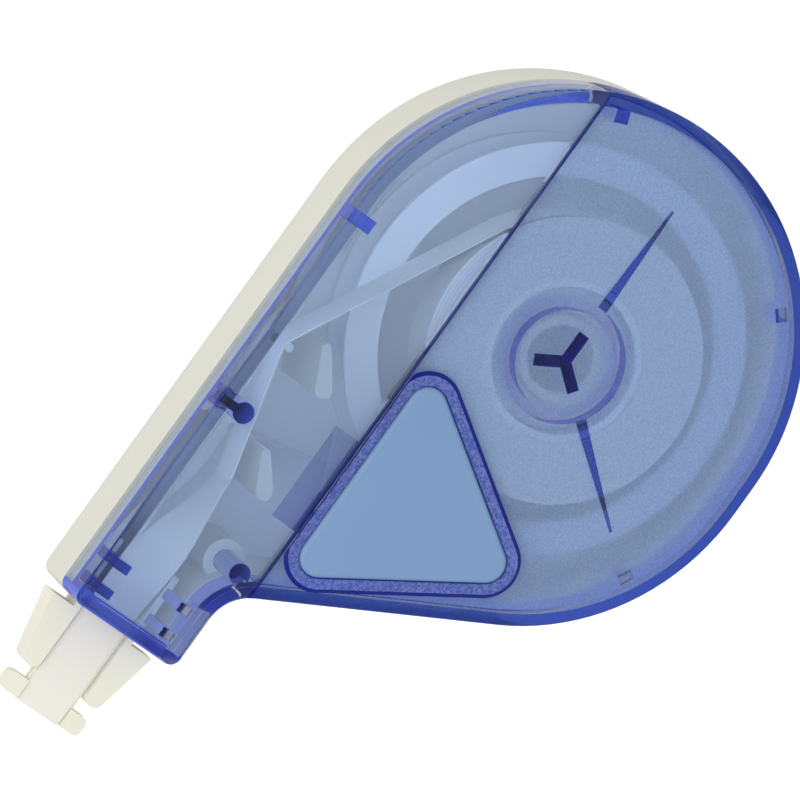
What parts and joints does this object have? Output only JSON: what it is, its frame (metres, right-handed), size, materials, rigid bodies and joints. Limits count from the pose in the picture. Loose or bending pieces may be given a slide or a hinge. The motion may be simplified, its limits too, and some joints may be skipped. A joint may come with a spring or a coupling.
{
  "type": "correction tape",
  "caption": "Hand-held correction tape dispenser: a round flat case with a neck, clear and frosted covers, a thumb pad, coaxial reels inside and a sideways tip that lays the tape.",
  "frame": {"origin": "the axis of the two reels, on the back face of the case", "axes": "+X from the tip towards the round end, +Y towards the straight edge, +Z out of the clear front"},
  "size_m": [0.082, 0.0497, 0.016],
  "materials": {
    "cream_plastic": "satin, opaque",
    "clear_blue_plastic": "glossy, clear blue tint",
    "frosted_blue_plastic": "fine frosted grain on a blue tint",
    "pad_plastic": "matte",
    "reel_plastic": "satin",
    "backing_film": "thin film",
    "correction_tape": "matte white",
    "clutch_rubber": "matte",
    "spring_steel": "satin",
    "tip_plastic": "satin"
  },
  "bodies": {
    "case": {"back_shell": "cream_plastic", "window_cover": "clear_blue_plastic", "grip_cover": "frosted_blue_plastic", "thumb_pad": "pad_plastic", "tip_guard": "tip_plastic", "tip_blade": "tip_plastic", "feed_tape": "correction_tape", "return_tape": "backing_film"},
    "take_up": {"take_up_reel": "reel_plastic", "take_up_flange": "reel_plastic", "take_up_winding": "backing_film", "clutch_ring": "clutch_rubber", "clutch_spring": "spring_steel", "clutch_cap": "reel_plastic"},
    "supply": {"supply_core": "reel_plastic", "tape_roll": "correction_tape"}
  },
  "joints": [
    {"name": "take_up_spin", "type": "hinge", "parent": "case", "child": "take_up", "pos_m": [0, 0, 0], "axis": [0, 0, 1], "continuous": true},
    {"name": "supply_spin", "type": "hinge", "parent": "case", "child": "supply", "pos_m": [0, 0, 0], "axis": [0, 0, 1], "continuous": true}
  ],
  "couplings": [
    {"joint": "supply_spin", "follows": "take_up_spin", "ratio": 1.325}
  ]
}
